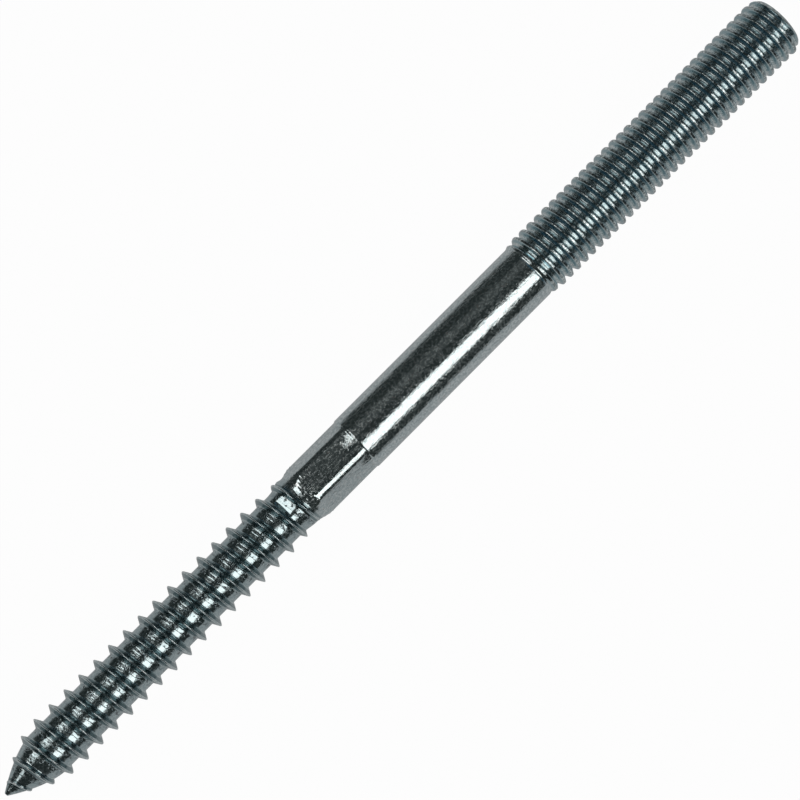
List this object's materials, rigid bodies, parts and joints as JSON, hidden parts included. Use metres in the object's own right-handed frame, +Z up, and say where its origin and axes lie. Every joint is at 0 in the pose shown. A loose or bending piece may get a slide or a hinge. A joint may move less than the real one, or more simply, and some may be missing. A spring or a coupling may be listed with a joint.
{
  "type": "hanger bolt",
  "caption": "Zinc-plated steel hanger bolt with a pointed wood screw thread, a pressed hexagon for a spanner, a plain shank and a machine thread.",
  "frame": {"origin": "on the floor under the middle of the bolt's length, the bolt lying on its side", "axes": "+X along the bolt toward the end face of the machine thread, +Z up"},
  "size_m": [0.1262, 0.008, 0.008],
  "materials": {
    "zinc_plated_steel": "bright zinc plating with a faint blue-green cast"
  },
  "bodies": {
    "root": {"hanger_bolt": "zinc_plated_steel"}
  },
  "joints": []
}
